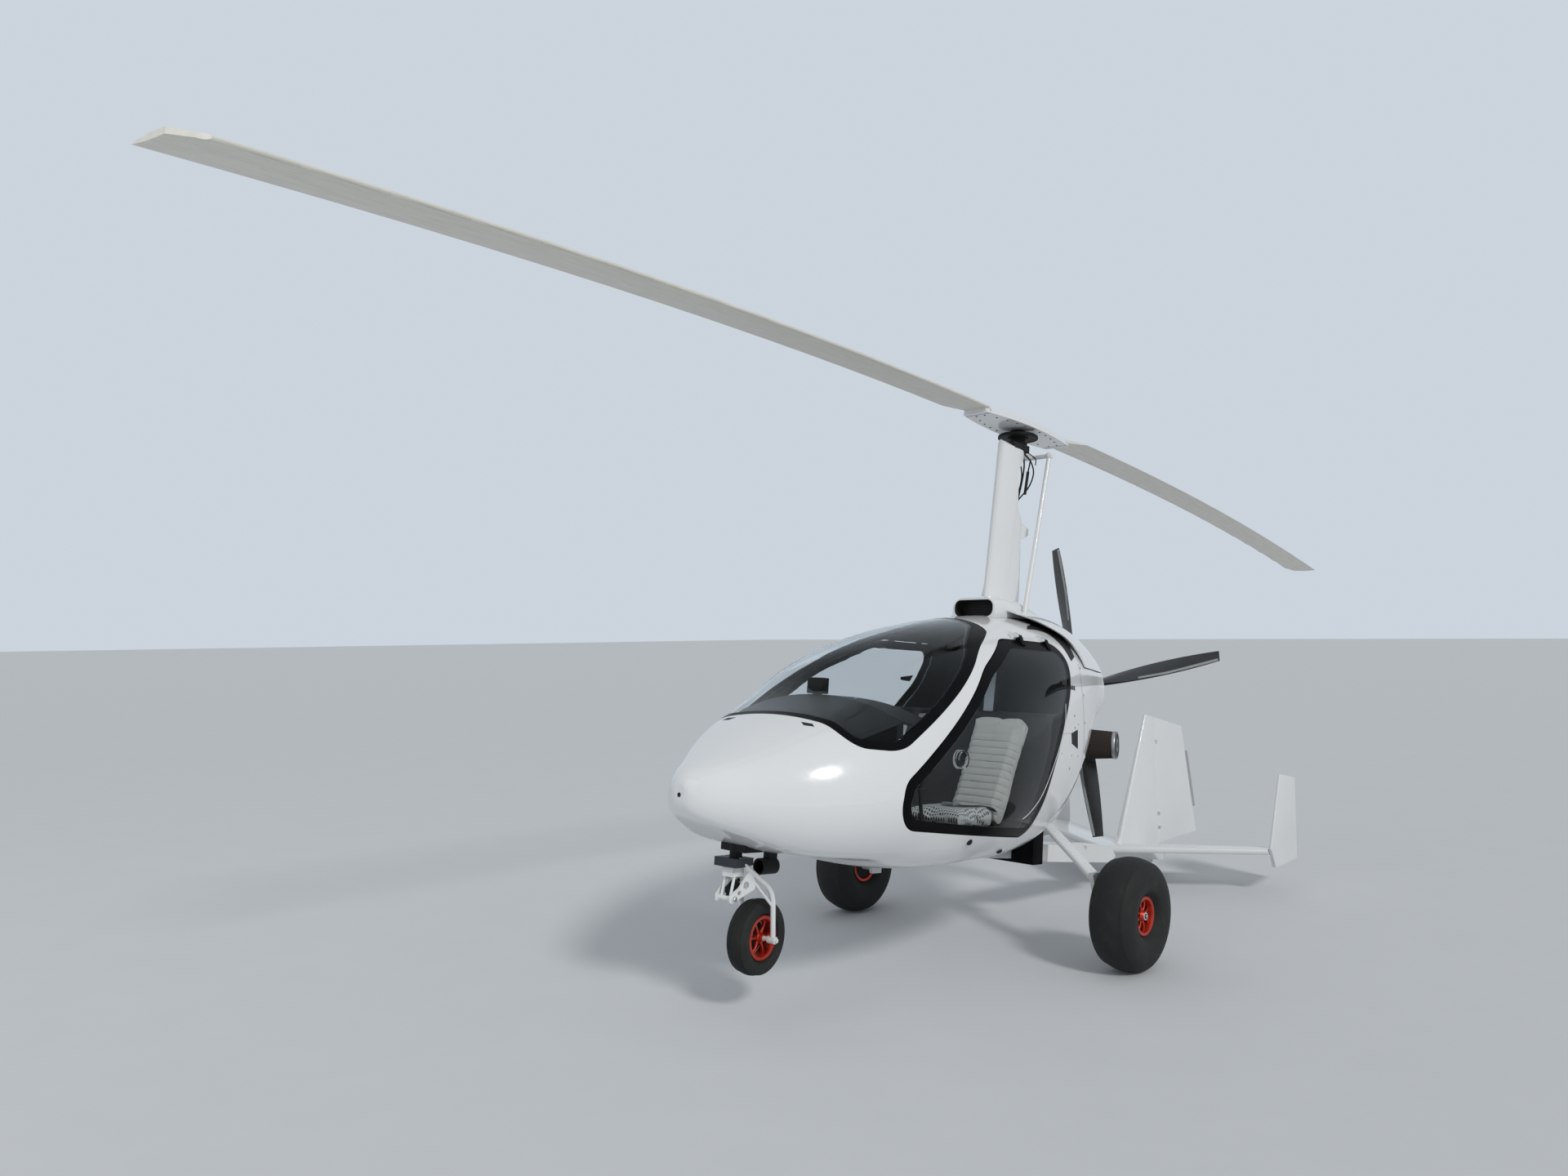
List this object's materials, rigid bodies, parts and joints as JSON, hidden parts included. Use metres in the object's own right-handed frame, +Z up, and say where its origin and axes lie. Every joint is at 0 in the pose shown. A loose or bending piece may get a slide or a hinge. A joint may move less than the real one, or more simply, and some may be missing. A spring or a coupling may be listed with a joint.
{
  "type": "gyrocopter",
  "caption": "Enclosed two-seat gyrocopter with a fairing-backed mast, free rotor, pusher propeller, twin gull-wing doors and a winged tail, parked on its gear.",
  "frame": {"origin": "on the ground under the rotor hub", "axes": "+X port, +Y aft, +Z up, as it stands parked"},
  "size_m": [1.8848, 8.7119, 2.9678],
  "materials": {
    "gloss_white": "gloss",
    "blade_white": "gloss",
    "white_paint": "gloss",
    "black_paint": "satin",
    "carbon_black": "gloss",
    "black_plastic": "matte",
    "grey_metal": "satin",
    "red_anodised": "gloss",
    "tyre": "matte",
    "glass": "gloss",
    "interior": "matte",
    "seat": "satin",
    "filter": "matte"
  },
  "bodies": {
    "airframe": {"air_filter": "filter", "air_filter_cap": "black_plastic", "belly_duct": "black_plastic", "boom_fairing": "gloss_white", "cabin_floor": "interior", "cabin_shell": "gloss_white", "control_rods": "black_paint", "control_sticks": "black_plastic", "door_hinge_brackets": "gloss_white", "engine_block": "black_paint", "engine_cowl": "gloss_white", "fin": "gloss_white", "firewall": "interior", "gear_legs": "white_paint", "gear_socket": "black_paint", "instrument_panel": "interior", "keel_tube": "black_paint", "main_axles": "white_paint", "mast": "gloss_white", "mast_pedestal": "gloss_white", "mast_tube": "grey_metal", "nose_gear_bracket": "white_paint", "pedals": "black_plastic", "rotor_head": "black_paint", "seat_back_port": "seat", "seat_back_starboard": "seat", "seat_bench": "interior", "seat_cushion_port": "seat", "seat_cushion_starboard": "seat", "stabiliser": "gloss_white", "tail_wheel_fork": "black_paint", "windscreen": "glass", "windscreen_border": "black_paint", "winglet_port": "gloss_white", "winglet_starboard": "gloss_white"},
    "door_port": {"door_frame_port": "black_paint", "door_pane_port": "glass", "door_vent_port": "black_plastic"},
    "door_starboard": {"door_frame_starboard": "black_paint", "door_pane_starboard": "glass", "door_vent_starboard": "black_plastic"},
    "main_wheel_port": {"main_rim_port": "red_anodised", "main_tyre_port": "tyre"},
    "main_wheel_starboard": {"main_rim_starboard": "red_anodised", "main_tyre_starboard": "tyre"},
    "nose_leg": {"nose_fork": "white_paint", "nose_leg_yoke": "white_paint", "nose_shock": "black_paint"},
    "nose_wheel": {"nose_rim": "red_anodised", "nose_tyre": "tyre"},
    "propeller": {"propeller_blades": "carbon_black", "propeller_hub": "carbon_black"},
    "rotor": {"rotor_blade_front": "blade_white", "rotor_blade_rear": "blade_white", "rotor_hub_bar": "grey_metal", "rotor_hub_fairing": "blade_white", "rotor_ring_gear": "grey_metal"},
    "rudder_body": {"rudder": "gloss_white", "trim_tab": "grey_metal"},
    "tail_wheel_body": {"tail_wheel": "tyre"}
  },
  "joints": [
    {"name": "port_door_hinge", "type": "hinge", "parent": "airframe", "child": "door_port", "pos_m": [0.389, -0.53443, 1.5359], "axis": [0, -0.9947, 0.1028], "range_deg": [0, 75]},
    {"name": "starboard_door_hinge", "type": "hinge", "parent": "airframe", "child": "door_starboard", "pos_m": [-0.389, -0.53443, 1.5359], "axis": [0, 0.9947, -0.1028], "range_deg": [0, 75]},
    {"name": "nose_leg_steering", "type": "hinge", "parent": "airframe", "child": "nose_leg", "pos_m": [0, -2.18697, 0.67219], "axis": [0, 0.1028, 0.9947], "range_deg": [-37.6, 22.4]},
    {"name": "nose_wheel_spin", "type": "hinge", "parent": "nose_leg", "child": "nose_wheel", "pos_m": [-0.02288, -2.05104, 0.31935], "axis": [0.9912, 0.1316, -0.0136], "continuous": true},
    {"name": "port_wheel_spin", "type": "hinge", "parent": "airframe", "child": "main_wheel_port", "pos_m": [0.836, -0.45527, 0.259], "axis": [1, 0, 0], "continuous": true},
    {"name": "starboard_wheel_spin", "type": "hinge", "parent": "airframe", "child": "main_wheel_starboard", "pos_m": [-0.836, -0.45527, 0.259], "axis": [1, 0, 0], "continuous": true},
    {"name": "tail_wheel_spin", "type": "hinge", "parent": "airframe", "child": "tail_wheel_body", "pos_m": [0, 1.33272, 0.05], "axis": [1, 0, 0], "continuous": true},
    {"name": "rotor_spin", "type": "hinge", "parent": "airframe", "child": "rotor", "pos_m": [0, 0, 2.70918], "axis": [0, 0.1028, 0.9947], "continuous": true},
    {"name": "propeller_spin", "type": "hinge", "parent": "airframe", "child": "propeller", "pos_m": [0, 0.58202, 1.23957], "axis": [0, 0.9877, -0.1564], "continuous": true},
    {"name": "rudder_hinge", "type": "hinge", "parent": "airframe", "child": "rudder_body", "pos_m": [0, 1.58908, 0.54135], "axis": [0, -0.0227, 0.9997], "range_deg": [-25, 25]}
  ]
}
